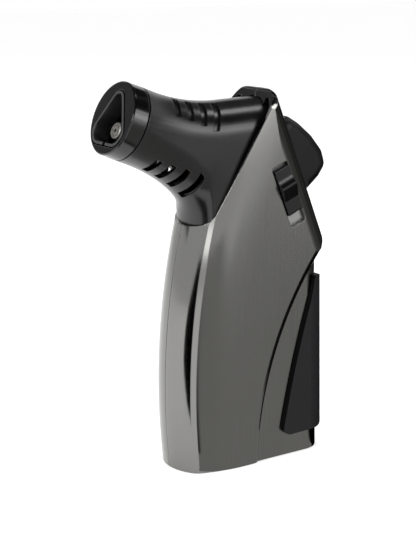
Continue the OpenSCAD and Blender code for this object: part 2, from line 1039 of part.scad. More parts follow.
module burner_tip() {
  color("silver")
    nozzle_frame()
      translate([0, -burner_drop, 0])
        difference() {
          union() {
            translate([0, 0, -floor_d])
              cylinder(h = floor_d - burner_d - 0.3, r = burner_r);
            translate([0, 0, -burner_d - 0.31])
              cylinder(h = 0.31, r1 = burner_r, r2 = burner_r - 0.3);
            translate([0, 0, -floor_d - 3])
              cylinder(h = 4, r = 2.4);
          }
          translate([0, 0, -floor_d - 4])
            cylinder(h = 20, r = 0.7);
          for (k = [0:flame_holes - 1])
            rotate([0, 0, 360 * k / flame_holes])
              translate([1.95, 0, -burner_d - 2])
                cylinder(h = 4, r = 0.38);
        }
}

module mixing_tube() {
  color("goldenrod")
    nozzle_frame()
      translate([0, -burner_drop, 0])
        difference() {
          translate([0, 0, -mix_end])
            cylinder(h = mix_end - floor_d - 1.75, r = 3.6);
          translate([0, 0, -floor_d - 3.1])
            cylinder(h = 4, r = 2.45);
          translate([0, 0, 2 - mix_end])
            cylinder(h = mix_end - 3, r = 2);
          translate([0, 0, -mix_end - 1])
            cylinder(h = 6, r = 1.5);
          translate([0, 0, 4 - mix_end])
            rotate([0, 90, 0])
              cylinder(h = 10, r = 1, center = true);
        }
}

module gas_jet() {
  color("goldenrod")
    nozzle_frame()
      translate([0, -burner_drop, 0])
        difference() {
          union() {
            translate([0, 0, -mix_end - 4])
              cylinder(h = 3.95, r = 2.6);
            translate([0, 0, -mix_end - 1])
              cylinder(h = 4, r = 1.45);
            translate([0, 0, -mix_end - 8])
              cylinder(h = 5, r = 1.2);
          }
          translate([0, 0, -mix_end - 9])
            cylinder(h = 14, r = 0.4);
        }
}

module electrode_insulator() {
  color("white")
    nozzle_frame()
      translate([0, guard_top - 0.6, 0])
        difference() {
          translate([0, 0, -floor_d - 7])
            cylinder(h = 10.4, r = 1.1);
          translate([0, 0, -floor_d - 8])
            cylinder(h = 16, r = 0.42);
        }
}

module electrode() {
  color("silver")
    nozzle_frame()
      translate([0, guard_top - 0.6, 0])
        union() {
          translate([0, 0, -floor_d - 7.5])
            cylinder(h = 12.5, r = 0.4);
          translate([0, 0, -floor_d + 4.6])
            rotate([90, 0, 0])
              cylinder(h = 2.2, r = 0.4);
        }
}

// Round cord along a list of points
function ring_at(p, q, r, n) =
  let (d = q - p, a = norm(cross(d, [1, 0, 0])) > 0.01 ? [1, 0, 0] : [0, 1, 0],
       u = cross(d, a) / norm(cross(d, a)), w = cross(d, u) / norm(cross(d, u)))
  [for (k = [0:n - 1]) p + r * (u * cos(360 * k / n) + w * sin(360 * k / n))];

// Smooth point list through the corners c, m points for each stretch
function bend(c, m) =
  [for (j = [0:len(c) - 2]) for (k = [0:(j == len(c) - 2 ? m : m - 1)])
    let (t = k / m, a = c[max(j - 1, 0)], b = c[j], e = c[j + 1], f = c[min(j + 2, len(c) - 1)])
    0.5 * (2 * b + (e - a) * t + (2 * a - 5 * b + 4 * e - f) * t * t + (3 * b - a - 3 * e + f) * t * t * t)];

module cord(c, r, m, n) {
  p = bend(c, m);
  last = len(p) - 1;
  pts = [for (j = [0:last]) each ring_at(p[j], p[j] + p[min(j + 1, last)] - p[max(j - 1, 0)], r, n)];
  sides = [for (j = [0:last - 1]) for (k = [0:n - 1])
    each [[j * n + k, j * n + (k + 1) % n, (j + 1) * n + (k + 1) % n],
          [j * n + k, (j + 1) * n + (k + 1) % n, (j + 1) * n + k]]];
  caps = [[for (k = [0:n - 1]) n - 1 - k], [for (k = [0:n - 1]) last * n + k]];
  polyhedron(points = pts, faces = concat(sides, caps));
}

module gas_hose() {
  color("white")
    cord([[-7.05, -dial_y, 70 + lift], [5.9 - half_w, -dial_y, 71 + lift], [5.7 - half_w, -dial_y - 0.8, 76 + lift],
          [6.9 - half_w, -dial_y - 0.4, 84 + lift], [-6.2, -9.8, 93 + lift], [-4.2, -7.9, 100 + lift],
          [-2.8, -6.2, 103.4 + lift], [-1, -4, 106 + lift], [-0.2, jet_y + 5.3, jet_z - 2.6],
          [0, jet_y + 2.78, jet_z - 1.12], [0, jet_y, jet_z]], 1.3, 4, 10);
}

module ignition_wire() {
  color("darkred")
    cord([[0, wire_y, wire_z], [0, wire_y + 6, wire_z - 1.6], [-3, -18, 126 + lift], [-7, -6, 117 + lift],
          [-8.3, 0.5, 108 + lift], [-8.2, 2.2, 102.5 + lift], [-7.4, 4.8, 97 + lift], [-5.1, 6.4, 93.2 + lift]],
         0.55, 4, 8);
}

module thumb_button() {
  x = button_w / 2 - button_r;
  f = button_front + button_r;
  b = button_back - button_r;
  low = button_low + button_r;
  color("black")
    piezo_frame()
      union() {
        hull()
          for (p = [[f, 11.9], [-8, 12.2], [-1, 11.7], [5.2, 10.1], [b, 8.3], [b, 5.5], [b - 3.2, low], [f, low]])
            for (s = [-1, 1])
              translate([s * x, p[0], p[1]])
                sphere(r = button_r, $fn = 32);
        translate([leg_x0, leg_y, leg_end])
          cube([leg_w, 3, -leg_end]);
      }
}

module piezo_plunger() {
  color("ivory")
    piezo_frame()
      translate([0, piezo_y, plunger_end])
        cylinder(h = button_low - plunger_end - 0.05, r = plunger_r);
}

module piezo_case() {
  color("ivory")
    piezo_frame()
      translate([0, piezo_y, piezo_top - piezo_len])
        difference() {
          cylinder(h = piezo_len - button_travel - 0.4, r = piezo_r);
          translate([0, 0, 4])
            cylinder(h = piezo_len, r = plunger_r + 0.1);
        }
}

module lock_slider() {
  w = slot_w - 2 * slider_gap;
  x0 = plate_x + plate_t + 0.12;
  xs = half_w;
  z1 = slider_top;
  z0 = slider_top - slider_len;
  zr = z0 + 0.605 * slider_len;
  color("black")
    slot_frame()
      union() {
        translate([0, w / 2, 0])
          rotate([90, 0, 0])
            linear_extrude(height = w)
              difference() {
                polygon([[x0, z0], [xs + 0.5, z0], [xs + 0.8, z0 + 0.4], [xs + 0.8, zr - 5.5],
                         [xs + ridge_h, zr - 0.5], [xs + ridge_h, zr + 0.3], [xs + 0.75, zr + 3.7],
                         [xs + 0.75, z1 - 0.5], [xs + 0.4, z1], [x0, z1]]);
                translate([xs + ridge_h + 2.57, zr + 3.4])
                  circle(r = 4.03);
              }
        translate([plate_x - 1.4, -1.1, z0 + 4])
          cube([2.7, 2.2, 9]);
      }
}

module slider_clip() {
  z0 = slider_top - slider_len;
  color("silver")
    slot_frame()
      difference() {
        translate([plate_x - 1.2, -3, z0 + 3])
          cube([1, 6, 11]);
        translate([plate_x - 2, -1.12, z0 + 3.98])
          cube([4, 2.24, 9.04]);
      }
}

module lock_plate() {
  z0 = slider_top - slider_len;
  color("silver")
    slot_frame()
      difference() {
        translate([plate_x, -slot_w / 2 - 2.2, -slot_len / 2 - 3])
          cube([plate_t, slot_w + 3.3, slot_len + 6]);
        translate([plate_x - 1, -1.4, z0 + 4 - 5.2])
          cube([4, 2.8, 14.6]);
      }
}

module rocker_pin() {
  color("silver")
    translate([-8.5, pivot_y, pivot_z])
      rotate([0, 90, 0])
        cylinder(h = half_w + 5, r = pin_r);
}

module valve_rocker() {
  tip_y = button_y0 + (leg_y + 1.5) * cos(button_lean) + leg_end * sin(button_lean);
  tip_z = button_z0 - (leg_y + 1.5) * sin(button_lean) + leg_end * cos(button_lean) - 1.6;
  color("silver")
    difference() {
      union() {
        translate([-4.4, pivot_y, pivot_z])
          rotate([0, 90, 0])
            cylinder(h = 12, r = 2.4);
        translate([leg_x0 - 0.2, 0, 0])
          rotate([90, 0, 90])
            linear_extrude(height = 2)
              polygon([[pivot_y - 1.6, pivot_z - 1.6], [pivot_y + 2, pivot_z - 2.2], [tip_y + 2.4, tip_z - 2.6],
                       [tip_y + 2.4, tip_z], [tip_y - 3, tip_z], [pivot_y - 1, pivot_z + 2]]);
        translate([-3.6, -dial_y - 2.6, head_z - 2])
          cube([7.2, 7, 1.8]);
        translate([-3.6, -dial_y + 3.2, pivot_z - 1.4])
          cube([7.2, 3, 1.9]);
      }
      translate([-20, pivot_y, pivot_z])
        rotate([0, 90, 0])
          cylinder(h = 40, r = pin_r + run_gap);
      translate([0, -dial_y, head_z - 6])
        cylinder(h = 10, r = stem_r + 0.5);
      translate([-stem_r - 0.5, -dial_y - 8, head_z - 6])
        cube([2 * stem_r + 1, 8, 10]);
    }
}

module valve_stem() {
  color("goldenrod")
    translate([0, -dial_y, 0])
      union() {
        translate([0, 0, lid_z1 + 2])
          cylinder(h = head_z - lid_z1, r = stem_r);
        translate([0, 0, head_z])
          cylinder(h = 1.4, r = 2.7);
      }
}

module valve_body() {
  color("goldenrod")
    translate([0, -dial_y, 0])
      difference() {
        union() {
          translate([0, 0, lid_z1])
            cylinder(h = 7, r = 4);
          translate([0, 0, tank_z1 - 4])
            cylinder(h = 10, r = 2.5);
          translate([0, 0, 70 + lift])
            rotate([0, -90, 0])
              cylinder(h = 7, r = 1);
        }
        translate([0, 0, lid_z1 + 1])
          cylinder(h = 10, r = stem_r + run_gap);
        translate([0, 0, tank_z1 - 5])
          cylinder(h = 10, r = 0.9);
      }
}

module tank_solid(i, y, r, z0, z1) {
  intersection() {
    cover_solid(i, y, r);
    translate([-30, -60, z0])
      cube([60, 120, z1 - z0]);
  }
}

module tank_body() {
  color("white")
    difference() {
      union() {
        difference() {
          tank_solid(tank_inset, tank_rear, 6, tank_z0, tank_z1);
          tank_solid(tank_inset + tank_wall, tank_rear - tank_wall, 4.5, tank_z0 + 2, tank_z1 + 5);
        }
        for (y = [-screw_y, screw_y])
          translate([0, y, tank_z0])
            cylinder(h = 8, r = 3.4);
      }
      for (y = [-screw_y, screw_y])
        translate([0, y, tank_z0 - 1])
          cylinder(h = 7.6, r = 1.31);
      translate([0, -dial_y, tank_z0 - 1])
        cylinder(h = 6, r = 4.02);
      translate([0, filler_y, tank_z0 - 1])
        cylinder(h = 6, r = 3.02);
    }
}

module tank_seal() {
  color("black")
    difference() {
      tank_solid(tank_inset, tank_rear, 6, tank_z1, tank_z1 + seal_t);
      tank_solid(tank_inset + tank_wall, tank_rear - tank_wall, 4.5, tank_z1 - 1, tank_z1 + 3);
    }
}

module tank_lid() {
  color("white")
    difference() {
      union() {
        tank_solid(tank_inset, tank_rear, 6, tank_z1 + seal_t, lid_z1);
        tank_solid(tank_inset + tank_wall + 0.1, tank_rear - tank_wall - 0.1, 4.4, tank_z1 - 3, lid_z1 - 1);
      }
      translate([0, -dial_y, tank_z1 - 10])
        cylinder(h = 30, r = 2.51);
    }
}

module riser_tube() {
  color("white")
    translate([0, -dial_y, 0])
      difference() {
        translate([0, 0, 13])
          cylinder(h = tank_z1 - 4.05 - 13, r = 1.6);
        translate([0, 0, 10])
          cylinder(h = 80, r = 0.9);
      }
}

module regulator_body() {
  color("goldenrod")
    translate([0, -dial_y, 0])
      difference() {
        translate([0, 0, tank_z0])
          cylinder(h = 10.3, r = 4);
        translate([0, 0, tank_z0 - 1])
          cylinder(h = 7.6, r = 2 + run_gap);
        cylinder(h = 40, r = 0.9);
      }
}

module flame_dial() {
  color("black")
    translate([0, -dial_y, 0])
      difference() {
        union() {
          translate([0, 0, 0.4])
            cylinder(h = base_t - 0.5, r = dial_r);
          translate([0, 0, 1])
            cylinder(h = tank_z0 + 5, r = 2);
        }
        translate([-3.6, -0.6, 0])
          cube([7.2, 1.2, 1.3]);
        for (k = [0:11])
          rotate([0, 0, 30 * k])
            translate([dial_r + 0.25, 0, 0])
              cylinder(h = base_t, r = 0.6);
      }
}

module filler_body() {
  color("goldenrod")
    translate([0, filler_y, 0])
      difference() {
        union() {
          translate([0, 0, 0.5])
            cylinder(h = base_t - 0.5, r = 4);
          translate([0, 0, 1])
            cylinder(h = 13, r = 3);
        }
        translate([0, 0, -1])
          cylinder(h = 1.5 + mouth_len, r = mouth_r);
        cylinder(h = 9, r = 1.05);
        translate([0, 0, mouth_len + 2])
          cylinder(h = 7, r = 2);
      }
}

module filler_stem() {
  color("silver")
    translate([0, filler_y, 0])
      union() {
        translate([0, 0, mouth_len + 0.8])
          cylinder(h = 3, r = 1);
        translate([0, 0, mouth_len + 2.2])
          cylinder(h = 1.6, r = 1.9);
      }
}

left_shell();
right_shell();
rear_cover();
grip_pad();
base_plate();
frame_left();
frame_right();
head_barrel();
nozzle_ring();
flame_guard();
burner_plate();
burner_tip();
mixing_tube();
gas_jet();
electrode();
electrode_insulator();
gas_hose();
ignition_wire();
thumb_button();
piezo_plunger();
piezo_case();
lock_slider();
slider_clip();
lock_plate();
valve_rocker();
rocker_pin();
valve_body();
valve_stem();
tank_body();
tank_lid();
tank_seal();
riser_tube();
regulator_body();
flame_dial();
filler_body();
filler_stem();
base_screws();
frame_screws();
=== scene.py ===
import math

import bpy
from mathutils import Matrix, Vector


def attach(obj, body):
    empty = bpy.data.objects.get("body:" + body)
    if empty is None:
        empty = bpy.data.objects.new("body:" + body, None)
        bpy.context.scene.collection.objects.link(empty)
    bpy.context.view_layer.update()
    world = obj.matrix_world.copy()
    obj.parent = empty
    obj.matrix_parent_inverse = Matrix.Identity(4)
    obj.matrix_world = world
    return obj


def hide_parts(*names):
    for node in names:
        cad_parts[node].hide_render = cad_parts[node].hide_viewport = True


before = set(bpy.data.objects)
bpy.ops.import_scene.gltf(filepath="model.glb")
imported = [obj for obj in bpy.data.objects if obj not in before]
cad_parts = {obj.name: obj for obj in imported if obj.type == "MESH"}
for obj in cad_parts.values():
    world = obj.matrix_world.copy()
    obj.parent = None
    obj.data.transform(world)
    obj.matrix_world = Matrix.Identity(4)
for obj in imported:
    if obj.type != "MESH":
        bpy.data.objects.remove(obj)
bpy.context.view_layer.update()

MM = 0.001

# Where the photograph was taken from, in millimetres, degrees and pixels
AIM = Vector((0, -14.36, 70.93))
CAMERA_AZIMUTH = 56.3
CAMERA_RISE = 13.8
CAMERA_DISTANCE = 482.76
FOCAL_PIXELS = 1300
IMAGE_HEIGHT = 555
SENSOR = 36

# Settings that several nodes share
COLOURS = {"data_type": "RGBA"}
NUMBERS = {"data_type": "FLOAT"}
LARGER = {"operation": "MAXIMUM"}


def linear(colour):
    """An sRGB hex colour as linear RGBA."""
    parts = [int(colour[i:i + 2], 16) / 255 for i in (1, 3, 5)]
    return [c / 12.92 if c <= 0.04045 else ((c + 0.055) / 1.055) ** 2.4 for c in parts] + [1]


def grain(size):
    """The scale of a pattern whose grains are that many millimetres wide."""
    return 1 / (size * MM)


def add(tree, kind, settings=None, **links):
    """Adds a node; settings are its properties, links are socket values or other sockets."""
    made = tree.nodes.new("ShaderNode" + kind)
    for key, value in (settings or {}).items():
        setattr(made, key, value)
    for key, value in links.items():
        socket = made.inputs[int(key[1:]) if key[1:].isdigit() else key.replace("_", " ")]
        if isinstance(value, bpy.types.NodeSocket):
            tree.links.new(value, socket)
        else:
            socket.default_value = value
    return made


def material(name, colour, **sockets):
    """A new material with one Principled shader; the sockets are constant values."""
    made = bpy.data.materials.new(name)
    made.use_nodes = True
    shader = made.node_tree.nodes["Principled BSDF"]
    shader.inputs["Base Color"].default_value = linear(colour)
    for key, value in sockets.items():
        shader.inputs[key.replace("_", " ")].default_value = value
    return made, made.node_tree, shader


def gunmetal_plated():
    """Zinc die casting, brushed along its height and plated in dark nickel.

    Gives a satin side panel with faint upright lines, and a near mirror on the round front and its bevel.
    """
    made, tree, shader = material("gunmetal_brushed_plated_zinc", "#7f7f7d", Metallic=1.0)
    place = add(tree, "TexCoord")
    # Real brush lines are 0.05 mm wide; drawn three times as wide so that they just show
    brush = [grain(0.154), grain(0.154), grain(33.3)]
    lines = add(tree, "Mapping", Vector=place.outputs["Object"], Scale=brush)
    streak = add(tree, "TexNoise", Vector=lines.outputs["Vector"], Scale=1.0, Detail=2.0)
    # The plating bath leaves clouds of about 30 mm
    cloud = add(tree, "TexNoise", Vector=place.outputs["Object"], Scale=grain(30.3), Detail=1.0)
    tone = add(tree, "Mix", COLOURS, i0=streak.outputs["Fac"], i6=linear("#7b7a78"), i7=linear("#838381"))
    shade = add(tree, "Mix", COLOURS, i0=cloud.outputs["Fac"], i6=linear("#f4f4f4"), i7=linear("#ffffff"))
    tinted = add(tree, "Mix", {**COLOURS, "blend_type": "MULTIPLY"},
                 i0=1.0, i6=tone.outputs[2], i7=shade.outputs[2])
    tree.links.new(tinted.outputs[2], shader.inputs["Base Color"])
    # The panels face sideways; the front, its bevel and the rolled edges turn away and are polished
    facing = add(tree, "SeparateXYZ", Vector=place.outputs["Normal"])
    flank = add(tree, "Math", {"operation": "ABSOLUTE"}, i0=facing.outputs["X"])
    side = add(tree, "MapRange", Value=flank.outputs["Value"], From_Min=0.965, From_Max=0.995)
    rubbed = add(tree, "MapRange", Value=streak.outputs["Fac"], From_Min=0.2, From_Max=0.8,
                 To_Min=0.24, To_Max=0.28)
    rough = add(tree, "Mix", NUMBERS, i0=side.outputs["Result"], i2=0.11, i3=rubbed.outputs["Result"])
    tree.links.new(rough.outputs[0], shader.inputs["Roughness"])
    edges = add(tree, "Bevel", {"samples": 6}, Radius=0.5 * MM)
    relief = add(tree, "Bump", Strength=0.03, Distance=0.01 * MM, Height=streak.outputs["Fac"],
                 Normal=edges.outputs["Normal"])
    tree.links.new(relief.outputs["Normal"], shader.inputs["Normal"])
    return made


def black_plastic(name, colour, lighter, level, rough, edge):
    """A moulded black plastic: colour pair, specular level, roughness and edge radius in millimetres.

    Gives a black whose gloss wavers a little, with a thin light line along its edges.
    """
    made, tree, shader = material(name, colour, IOR=1.5, Specular_IOR_Level=level)
    place = add(tree, "TexCoord")
    # Skin of 0.35 mm from the mould and a flow mottle of 14 mm
    skin = add(tree, "TexNoise", Vector=place.outputs["Object"], Scale=grain(0.345), Detail=2.0)
    cloud = add(tree, "TexNoise", Vector=place.outputs["Object"], Scale=grain(14.1), Detail=2.0)
    tone = add(tree, "Mix", COLOURS, i0=cloud.outputs["Fac"], i6=linear(colour), i7=linear(lighter))
    tree.links.new(tone.outputs[2], shader.inputs["Base Color"])
    gloss = add(tree, "MapRange", Value=cloud.outputs["Fac"], From_Min=0.3, From_Max=0.7,
                To_Min=rough * 0.9, To_Max=rough * 1.1)
    tree.links.new(gloss.outputs["Result"], shader.inputs["Roughness"])
    edges = add(tree, "Bevel", {"samples": 8}, Radius=edge * MM)
    relief = add(tree, "Bump", Strength=0.08, Distance=0.01 * MM, Height=skin.outputs["Fac"],
                 Normal=edges.outputs["Normal"])
    tree.links.new(relief.outputs["Normal"], shader.inputs["Normal"])
    return made


def rubber_grip():
    """Moulded thermoplastic rubber.

    Gives a matte black with a fine skin, and a smoother front bevel whose base colour is darkened to near black
    as painted shade.
    """
    made, tree, shader = material("rubber_moulded_matte_black", "#242225", IOR=1.52)
    place = add(tree, "TexCoord")
    # Skin of 0.5 mm grains, as left by an eroded mould, and a mottle of 20 mm
    skin = add(tree, "TexNoise", Vector=place.outputs["Object"], Scale=grain(0.5), Detail=4.0, Roughness=0.7)
    cloud = add(tree, "TexNoise", Vector=place.outputs["Object"], Scale=grain(20), Detail=2.0)
    # The bevel is where the pad turns to the front
    facing = add(tree, "SeparateXYZ", Vector=place.outputs["Normal"])
    front = add(tree, "MapRange", Value=facing.outputs["Y"], From_Min=-0.6, From_Max=-0.2,
                To_Min=1.0, To_Max=0.0)
    tone = add(tree, "Mix", COLOURS, i0=cloud.outputs["Fac"], i6=linear("#1b191c"), i7=linear("#211f22"))
    # Painted shade: where the pad turns to the front, its base colour is pulled to near black
    bevel_painted_shade = add(tree, "Mix", COLOURS, i0=front.outputs["Result"], i6=tone.outputs[2], i7=linear("#050505"))
    tree.links.new(bevel_painted_shade.outputs[2], shader.inputs["Base Color"])
    gloss = add(tree, "MapRange", Value=skin.outputs["Fac"], From_Min=0.3, From_Max=0.7,
                To_Min=0.5, To_Max=0.65)
    rough = add(tree, "Mix", NUMBERS, i0=front.outputs["Result"], i2=gloss.outputs["Result"], i3=0.25)
    tree.links.new(rough.outputs[0], shader.inputs["Roughness"])
    shine = add(tree, "MapRange", Value=front.outputs["Result"], To_Min=0.25, To_Max=0.04)
    tree.links.new(shine.outputs["Result"], shader.inputs["Specular IOR Level"])
    edges = add(tree, "Bevel", {"samples": 6}, Radius=0.4 * MM)
    relief = add(tree, "Bump", Strength=0.25, Distance=0.04 * MM, Height=skin.outputs["Fac"],
                 Normal=edges.outputs["Normal"])
    tree.links.new(relief.outputs["Normal"], shader.inputs["Normal"])
    return made


def metal(name, colour, darker, rough, mark):
    """A bare metal with tool marks, mark millimetres wide, and slightly uneven gloss."""
    made, tree, shader = material(name, colour, Metallic=1.0)
    place = add(tree, "TexCoord")
    marks = add(tree, "TexNoise", Vector=place.outputs["Object"], Scale=grain(mark), Detail=3.0)
    tone = add(tree, "Mix", COLOURS, i0=marks.outputs["Fac"], i6=linear(darker), i7=linear(colour))
    tree.links.new(tone.outputs[2], shader.inputs["Base Color"])
    gloss = add(tree, "MapRange", Value=marks.outputs["Fac"], From_Min=0.25, From_Max=0.75,
                To_Min=rough * 0.8, To_Max=rough * 1.25)
    tree.links.new(gloss.outputs["Result"], shader.inputs["Roughness"])
    edges = add(tree, "Bevel", {"samples": 4}, Radius=0.15 * MM)
    relief = add(tree, "Bump", Strength=0.1, Distance=0.01 * MM, Height=marks.outputs["Fac"],
                 Normal=edges.outputs["Normal"])
    tree.links.new(relief.outputs["Normal"], shader.inputs["Normal"])
    return made


def moulded(name, colour, darker, rough, **sockets):
    """A plain moulded, extruded or fired material with a faint mottle of 3 mm."""
    made, tree, shader = material(name, colour, **sockets)
    place = add(tree, "TexCoord")
    mottle = add(tree, "TexNoise", Vector=place.outputs["Object"], Scale=grain(3.03), Detail=3.0)
    tone = add(tree, "Mix", COLOURS, i0=mottle.outputs["Fac"], i6=linear(darker), i7=linear(colour))
    tree.links.new(tone.outputs[2], shader.inputs["Base Color"])
    gloss = add(tree, "MapRange", Value=mottle.outputs["Fac"], From_Min=0.3, From_Max=0.7,
                To_Min=rough * 0.9, To_Max=rough * 1.1)
    tree.links.new(gloss.outputs["Result"], shader.inputs["Roughness"])
    return made


GUNMETAL = gunmetal_plated()
RUBBER = rubber_grip()
# Lacquered head: deep black, with a broad gleam along the flank
HEAD_BLACK = black_plastic("abs_moulded_black_lacquered", "#060607", "#0a0a0b", 0.55, 0.245, 0.4)
# The same black on the slider and the dial: a little crisper, with finer edges
SATIN_BLACK = black_plastic("abs_moulded_satin_black", "#070708", "#0b0b0c", 0.45, 0.2, 0.3)
# Polished mould: the ring and the hood carry thin bright lines on their edges
GLOSS_BLACK = black_plastic("abs_moulded_gloss_black", "#060607", "#09090a", 0.6, 0.13, 0.45)
# Glass-filled nylon straight from the mould: dull black that hides in its own shadow
MATTE_BLACK = black_plastic("nylon_moulded_matte_black", "#0c0c0d", "#101011", 0.3, 0.4, 0.25)
# Soft-touch coat of the button: charcoal, even and without a sharp highlight
SOFT_TOUCH = black_plastic("abs_soft_touch_charcoal", "#0c0c0d", "#101011", 0.25, 0.36, 0.3)
# Blued spring steel of the flame guard: dark grey with a dull gleam on its rim
BLUED_STEEL = metal("steel_stamped_heat_blued", "#8c8b8a", "#727276", 0.34, 0.4)
# Turned and nickel plated burner: the one bright point in the dark nozzle
NICKEL = metal("brass_turned_nickel_plated", "#c9c6bf", "#a3a098", 0.4, 0.2)
# Cold rolled and zinc plated steel of screws, pin, clip and slot plate: light grey, softly shining
ZINC_STEEL = metal("steel_pressed_zinc_plated", "#b9b9b8", "#9d9d9c", 0.32, 0.303)
# Turned free-cutting brass of valve, jet and mixer: warm yellow with fine turning marks
BRASS = metal("brass_turned_bare", "#b9924a", "#a07c3a", 0.28, 0.25)
# Fired ceramic sleeve: off-white with a glaze-like gleam
CERAMIC = moulded("alumina_fired_white", "#e4e1d8", "#d6d2c6", 0.35, IOR=1.76)
# Extruded hose: milky and soft
SILICONE = moulded("silicone_extruded_milky", "#d9d9d4", "#cbcbc6", 0.45, IOR=1.41, Subsurface_Weight=0.2)
# Wire sleeve: dull red
RED_PVC = moulded("pvc_extruded_red", "#8f1d1b", "#7c1514", 0.5, IOR=1.53)
# Igniter: waxy ivory
IVORY = moulded("acetal_moulded_ivory", "#d8d0b6", "#cbc2a6", 0.42, IOR=1.48)
# Tank: smoky and half clear, so that the fuel level would show
NYLON_CLEAR = moulded("nylon_moulded_smoke_clear", "#c3c7c8", "#b4b9ba", 0.3,
                      IOR=1.53, Transmission_Weight=0.35)
# Seal: dead black
NITRILE = moulded("nitrile_moulded_black", "#19191a", "#131314", 0.7, IOR=1.52)

FINISHES = {
    "left_shell": GUNMETAL, "right_shell": GUNMETAL, "rear_cover": GUNMETAL,
    "grip_pad": RUBBER, "base_plate": MATTE_BLACK, "frame_left": GLOSS_BLACK, "frame_right": GLOSS_BLACK,
    "head_barrel": HEAD_BLACK, "nozzle_ring": GLOSS_BLACK, "flame_guard": BLUED_STEEL,
    "burner_plate": MATTE_BLACK, "burner_tip": NICKEL, "mixing_tube": BRASS, "gas_jet": BRASS,
    "electrode": ZINC_STEEL, "electrode_insulator": CERAMIC, "gas_hose": SILICONE, "ignition_wire": RED_PVC,
    "thumb_button": SOFT_TOUCH, "piezo_plunger": IVORY, "piezo_case": IVORY, "lock_slider": SATIN_BLACK,
    "slider_clip": ZINC_STEEL, "lock_plate": ZINC_STEEL, "valve_rocker": ZINC_STEEL, "rocker_pin": ZINC_STEEL,
    "valve_body": BRASS, "valve_stem": BRASS, "tank_body": NYLON_CLEAR, "tank_lid": NYLON_CLEAR,
    "tank_seal": NITRILE, "riser_tube": NYLON_CLEAR, "regulator_body": BRASS, "flame_dial": SATIN_BLACK,
    "filler_body": BRASS, "filler_stem": ZINC_STEEL, "base_screws": ZINC_STEEL, "frame_screws": ZINC_STEEL,
}
for name, finish in FINISHES.items():
    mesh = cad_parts[name].data
    mesh.materials.clear()
    mesh.materials.append(finish)

# The head, in millimetres: s runs along the nozzle axis from the nozzle's end, v stands across that axis in the
# middle plane, and u goes round the section from its top (0) to its bottom (1)
NOZZLE_Y, NOZZLE_Z = -53.95, 132.85
PITCH = math.radians(22)
HEAD_START = 6.45
# Top and underside: height at the nozzle, start and radius of the sweep, and where the top runs on straight
MOUTH_TOP, MOUTH_LOW = 13.55, 13.5
UPPER_START, LOWER_START = 10, 11
UPPER_SWEEP, LOWER_SWEEP = 71.7, 70.0
TOP_ANGLE = math.radians(24)
# Neck: a point and the slope of its upright front, its blend into the underside, and its lower end
NECK_S, NECK_V, NECK_SLOPE = 43.1, -26.9, 2.475
NECK_BLEND = 2.2
BLEND_START, BLEND_END = 24, 38
NECK_LOW = -36
# Half width, how much wider the nozzle end is and over what run, and how much narrower the neck is
HALF_WIDTH = 11.86
MOUTH_FLARE, FLARE_RUN = 1.64, 17
NECK_WAIST = 0.9
# Share of u in the rounding above and below, and how much that rounding grows toward the body
ROUND_SHARE = 0.4
ROUND_GROWTH = 0.1
# How far the open slots lean toward the nozzle, and how the inner end leans with the opening of the body
SLOT_LEAN = 1.6
INNER_START, INNER_RUN, INNER_LEAN = 40, 17, 7

# Depths below the skin: none, the floor of a blind slot, and the inside of the wall
SKIN, GROOVE, WALL = 0.0, 1.1, 1.7
# Slots: half width, place of the first and spacing along the head, and the ends of each in u
SLOT_HALF = 1.25
UPPER_FIRST, UPPER_PITCH = 18.9, 5.4
LOWER_FIRST, LOWER_PITCH = 18.4, 5.8
UPPER_EDGE, UPPER_ENDS = 0.078, (0.271, 0.284, 0.311, 0.347)
LOWER_EDGE, LOWER_ENDS = 0.935, (0.764, 0.741, 0.707, 0.658)
# The floor of a blind slot is narrower than its mouth, so that its walls slope and catch the light
FLOOR_SHARE = 0.7
SLOTS = [(UPPER_FIRST + UPPER_PITCH * k, UPPER_EDGE, end, GROOVE) for k, end in enumerate(UPPER_ENDS)]
SLOTS += [(LOWER_FIRST + LOWER_PITCH * k, end, LOWER_EDGE, WALL) for k, end in enumerate(LOWER_ENDS)]

# Mesh of the head: spacing and number of the lines across it, steps round each half, and the reach of a slope
LINE_STEP, LINES = 0.9, 57
ROUND_STEPS = 48
REACH_S, REACH_U = 0.05, 0.004
SHARP = math.radians(40)


def eased(value, low, high):
    """0 below low, 1 above high and smooth between."""
    t = min(max((value - low) / (high - low), 0), 1)
    return t * t * (3 - 2 * t)


def head_top(s):
    """Height of the head's top over the nozzle axis: an arc that runs on straight."""
    run, turn = max(s - UPPER_START, 0), UPPER_SWEEP * math.sin(TOP_ANGLE)
    sweep = UPPER_SWEEP - math.sqrt(UPPER_SWEEP ** 2 - min(run, turn) ** 2)
    return MOUTH_TOP + sweep + max(run - turn, 0) * math.tan(TOP_ANGLE)


def head_low(s):
    """Height of the head's underside: an arc that blends into the upright front of the neck."""
    sweep = math.sqrt(LOWER_SWEEP ** 2 - max(s - LOWER_START, 0) ** 2) - LOWER_SWEEP - MOUTH_LOW
    neck = NECK_V - NECK_SLOPE * (s - NECK_S)
    blend = (sweep + neck) / 2 - math.sqrt((sweep - neck) ** 2 / 4 + NECK_BLEND ** 2)
    return max(sweep + (blend - sweep) * eased(s, BLEND_START, BLEND_END), NECK_LOW)


